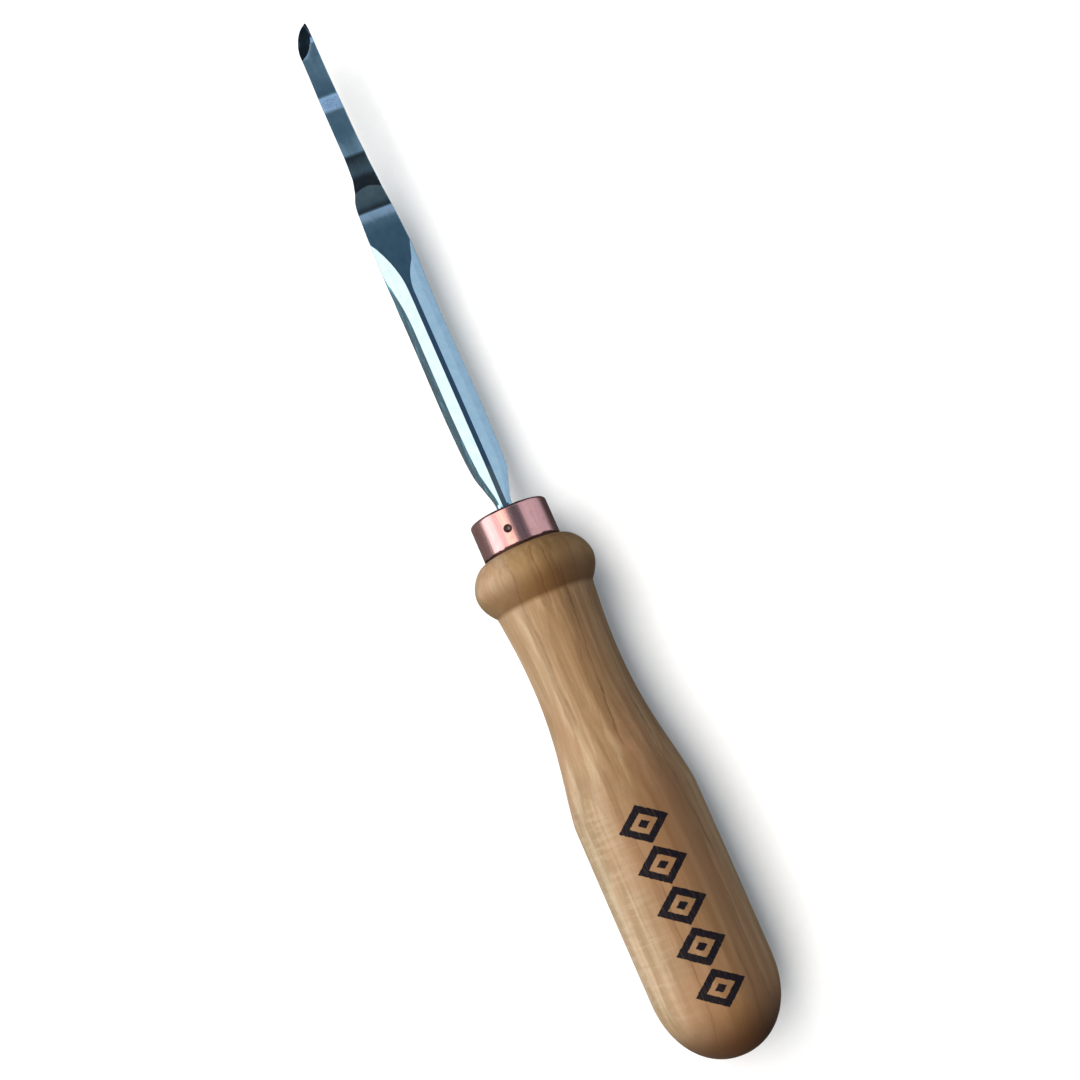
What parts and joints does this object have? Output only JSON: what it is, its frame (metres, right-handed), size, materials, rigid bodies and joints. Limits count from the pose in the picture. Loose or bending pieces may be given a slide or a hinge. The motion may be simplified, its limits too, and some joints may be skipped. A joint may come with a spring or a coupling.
{
  "type": "carving gouge",
  "caption": "Cranked wood-carving gouge with a skewed round nose, copper ferrule and turned hardwood handle.",
  "frame": {"origin": "on the tool's axis, at the shoulder of the handle where the ferrule seats", "axes": "+X along the axis towards the cutting edge, +Z out of the back of the blade, the side with the bevel"},
  "size_m": [0.2585, 0.029, 0.029],
  "materials": {
    "wood": "satin",
    "copper": "polished",
    "blade_steel": "ground",
    "pin_steel": "dull"
  },
  "bodies": {
    "root": {"handle": "wood", "ferrule": "copper", "ferrule_pin": "pin_steel", "blade": "blade_steel"}
  },
  "joints": []
}
